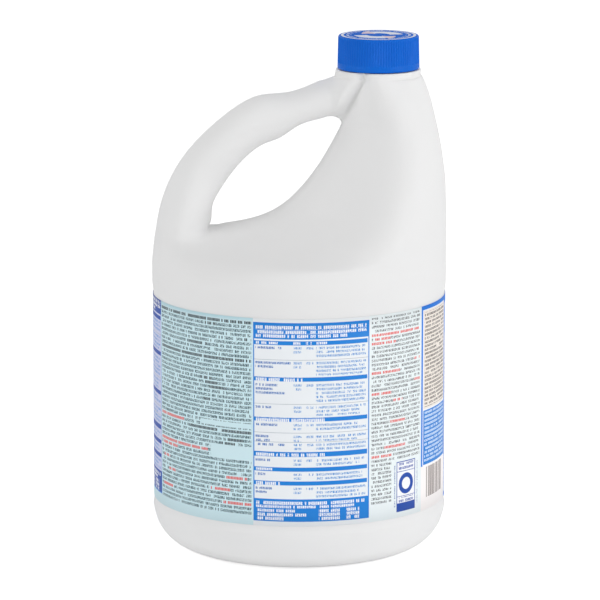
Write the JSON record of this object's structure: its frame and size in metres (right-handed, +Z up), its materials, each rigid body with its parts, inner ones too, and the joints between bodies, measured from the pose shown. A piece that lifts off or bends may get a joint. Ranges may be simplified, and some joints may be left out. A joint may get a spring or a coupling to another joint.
{
  "type": "bleach bottle",
  "caption": "White blow-moulded jug with a hollow through handle, offset neck, ribbed screw cap, sealing liner and a wrap label for household liquids.",
  "frame": {"origin": "middle of the foot, on the surface the jug stands on", "axes": "+Z up along the body, +X from the handle towards the neck in the mould's parting plane, -Y towards the back panel of the label"},
  "size_m": [0.1589, 0.1594, 0.2788],
  "materials": {
    "bottle": "white high-density polyethylene, satin from the mould",
    "label": "printed film, pale blue and white fields with greeked lines",
    "cap_liner": "white foam sealing disc",
    "cap": "blue polypropylene, fine vertical ribs, white printed top"
  },
  "bodies": {
    "jug": {"bottle": "bottle", "label": "label"},
    "liner": {"cap_liner": "cap_liner"},
    "screw_cap": {"cap": "cap"}
  },
  "joints": [
    {"name": "cap_lift", "type": "slide", "parent": "jug", "child": "liner", "axis": [0, 0, 1], "range_m": [0, 0.0254]},
    {"name": "cap_turn", "type": "hinge", "parent": "liner", "child": "screw_cap", "pos_m": [0.0425, 0, 0.27], "axis": [0, 0, 1], "range_deg": [0, 2160]}
  ],
  "couplings": [
    {"joint": "cap_lift", "follows": "cap_turn", "m_per_rad": 0.00067375}
  ]
}
